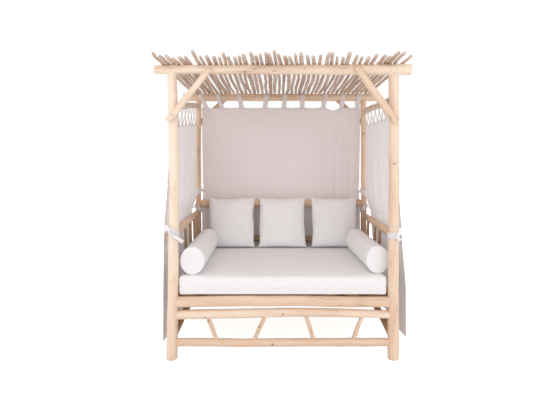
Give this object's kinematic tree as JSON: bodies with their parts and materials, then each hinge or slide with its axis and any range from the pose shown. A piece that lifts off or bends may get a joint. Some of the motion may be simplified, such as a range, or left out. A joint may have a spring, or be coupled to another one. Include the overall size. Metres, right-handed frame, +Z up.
{
  "type": "outdoor daybed with canopy",
  "caption": "Daybed of crooked peeled branches with a stick roof on corner posts, tied-back curtains, a mattress, square pillows and round bolsters.",
  "frame": {"origin": "on the floor, in the middle of the whole outline, roof sticks included", "axes": "+X to the right as seen from the front, +Y to the back, +Z up"},
  "size_m": [1.838, 1.4067, 2.1004],
  "materials": {
    "branch_wood": "peeled and sanded branches, oiled thinly, with knots and long grain",
    "rail_wood": "the same peeled wood, a little darker",
    "roof_sticks": "bare weathered sticks, matt, gray-brown",
    "bolt_steel": "dull zinc-plated bolt head",
    "curtain_cloth": "thin off-white woven cloth that lets some light through",
    "cushion_cloth": "matt white outdoor canvas with sewn edges"
  },
  "bodies": {
    "frame": {"front_left_post": "branch_wood", "front_right_post": "branch_wood", "back_left_post": "branch_wood", "back_right_post": "branch_wood", "front_top_beam": "branch_wood", "back_top_beam": "branch_wood", "left_top_rail": "branch_wood", "right_top_rail": "branch_wood", "front_left_brace": "branch_wood", "front_right_brace": "branch_wood", "back_left_brace": "branch_wood", "back_right_brace": "branch_wood", "front_seat_rail": "branch_wood", "front_middle_rail": "branch_wood", "front_bottom_rail": "branch_wood", "front_strut_1": "branch_wood", "front_strut_2": "branch_wood", "front_strut_3": "branch_wood", "front_strut_4": "branch_wood", "left_arm_rail": "branch_wood", "right_arm_rail": "branch_wood", "backrest_top_rail": "branch_wood", "back_seat_rail": "rail_wood", "back_bottom_rail": "rail_wood", "backrest_lower_rail": "rail_wood", "left_seat_rail": "rail_wood", "right_seat_rail": "rail_wood", "left_bottom_rail": "rail_wood", "right_bottom_rail": "rail_wood", "left_side_strut_1": "rail_wood", "left_side_strut_2": "rail_wood", "right_side_strut_1": "rail_wood", "right_side_strut_2": "rail_wood", "left_arm_slat_1": "rail_wood", "left_arm_slat_2": "rail_wood", "left_arm_slat_3": "rail_wood", "left_arm_slat_4": "rail_wood", "right_arm_slat_1": "rail_wood", "right_arm_slat_2": "rail_wood", "right_arm_slat_3": "rail_wood", "right_arm_slat_4": "rail_wood", "backrest_slat_1": "rail_wood", "backrest_slat_2": "rail_wood", "bed_slats": "rail_wood", "roof_mat_1": "roof_sticks", "roof_mat_2": "roof_sticks", "roof_mat_3": "roof_sticks", "roof_mat_4": "roof_sticks", "roof_mat_5": "roof_sticks", "front_left_brace_bolt": "bolt_steel", "front_right_brace_bolt": "bolt_steel", "back_curtain": "curtain_cloth", "left_curtain": "curtain_cloth", "right_curtain": "curtain_cloth"},
    "mattress": {"mattress": "cushion_cloth"},
    "left_pillow": {"left_pillow": "cushion_cloth"},
    "middle_pillow": {"middle_pillow": "cushion_cloth"},
    "right_pillow": {"right_pillow": "cushion_cloth"},
    "left_bolster": {"left_bolster": "cushion_cloth"},
    "right_bolster": {"right_bolster": "cushion_cloth"}
  },
  "joints": [
    {"name": "mattress_lift", "type": "slide", "parent": "frame", "child": "mattress", "axis": [0, 0, 1], "range_m": [0, 0.25]},
    {"name": "left_pillow_lift", "type": "slide", "parent": "mattress", "child": "left_pillow", "axis": [0, 0, 1], "range_m": [0, 0.3]},
    {"name": "middle_pillow_lift", "type": "slide", "parent": "mattress", "child": "middle_pillow", "axis": [0, 0, 1], "range_m": [0, 0.3]},
    {"name": "right_pillow_lift", "type": "slide", "parent": "mattress", "child": "right_pillow", "axis": [0, 0, 1], "range_m": [0, 0.3]},
    {"name": "left_bolster_lift", "type": "slide", "parent": "mattress", "child": "left_bolster", "axis": [0, 0, 1], "range_m": [0, 0.3]},
    {"name": "right_bolster_lift", "type": "slide", "parent": "mattress", "child": "right_bolster", "axis": [0, 0, 1], "range_m": [0, 0.3]}
  ]
}
